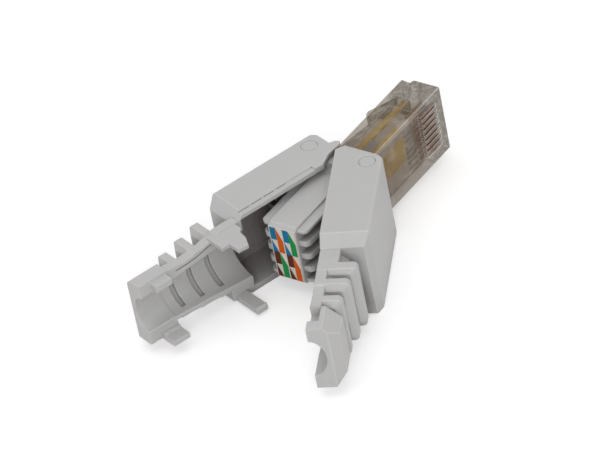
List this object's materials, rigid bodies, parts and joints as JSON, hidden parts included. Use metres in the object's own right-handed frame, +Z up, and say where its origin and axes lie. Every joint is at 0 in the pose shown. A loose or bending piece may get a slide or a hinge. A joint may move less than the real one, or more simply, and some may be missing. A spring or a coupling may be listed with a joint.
{
  "type": "field termination ethernet plug",
  "caption": "Clear-nosed modular network plug with a white centre block and two hinged wings that close on the cable as a finned strain-relief boot.",
  "frame": {"origin": "on the nose's front face, on the line where the closed wings meet, at half the wings' height", "axes": "+X forward out of the nose, along the plugging direction; +Y left, to the side with the release latch; +Z up, along the hinge pins, away from the face the plug lies on"},
  "size_m": [0.0585, 0.0364, 0.0146],
  "materials": {
    "clear_plastic": "clear moulded polycarbonate, glossy",
    "white_plastic": "moulded white plastic, fine satin",
    "board_laminate": "glass-fibre laminate with a yellow-green solder mask",
    "gold_contact": "gold-plated copper alloy blade",
    "tinned_contact": "tin-plated copper alloy, dull silver",
    "printed_label": "thin printed paper label with colour-code fields"
  },
  "bodies": {
    "plug": {"nose_shell": "clear_plastic", "contact_board": "board_laminate", "link_board": "board_laminate", "centre_body": "white_plastic", "colour_label": "printed_label", "contact_1": "gold_contact", "contact_2": "gold_contact", "contact_3": "gold_contact", "contact_4": "gold_contact", "contact_5": "gold_contact", "contact_6": "gold_contact", "contact_7": "gold_contact", "contact_8": "gold_contact", "wire_fork_left_1": "tinned_contact", "wire_fork_left_2": "tinned_contact", "wire_fork_left_3": "tinned_contact", "wire_fork_left_4": "tinned_contact", "wire_fork_right_1": "tinned_contact", "wire_fork_right_2": "tinned_contact", "wire_fork_right_3": "tinned_contact", "wire_fork_right_4": "tinned_contact"},
    "wing_left": {"wing_left": "white_plastic"},
    "wing_right": {"wing_right": "white_plastic"},
    "latch": {"release_latch": "clear_plastic"}
  },
  "joints": [
    {"name": "left_wing_hinge", "type": "hinge", "parent": "plug", "child": "wing_left", "pos_m": [-0.0216, 0.0053, 0], "axis": [0, 0, 1], "range_deg": [-10, 18]},
    {"name": "right_wing_hinge", "type": "hinge", "parent": "plug", "child": "wing_right", "pos_m": [-0.0216, -0.0053, 0], "axis": [0, 0, 1], "range_deg": [-27, 1]},
    {"name": "latch_flex", "type": "hinge", "parent": "plug", "child": "latch", "pos_m": [-0.0026, 0.003, 0], "axis": [0, 0, 1], "range_deg": [0, 10], "stiffness_Nm_per_rad": 0.05}
  ]
}
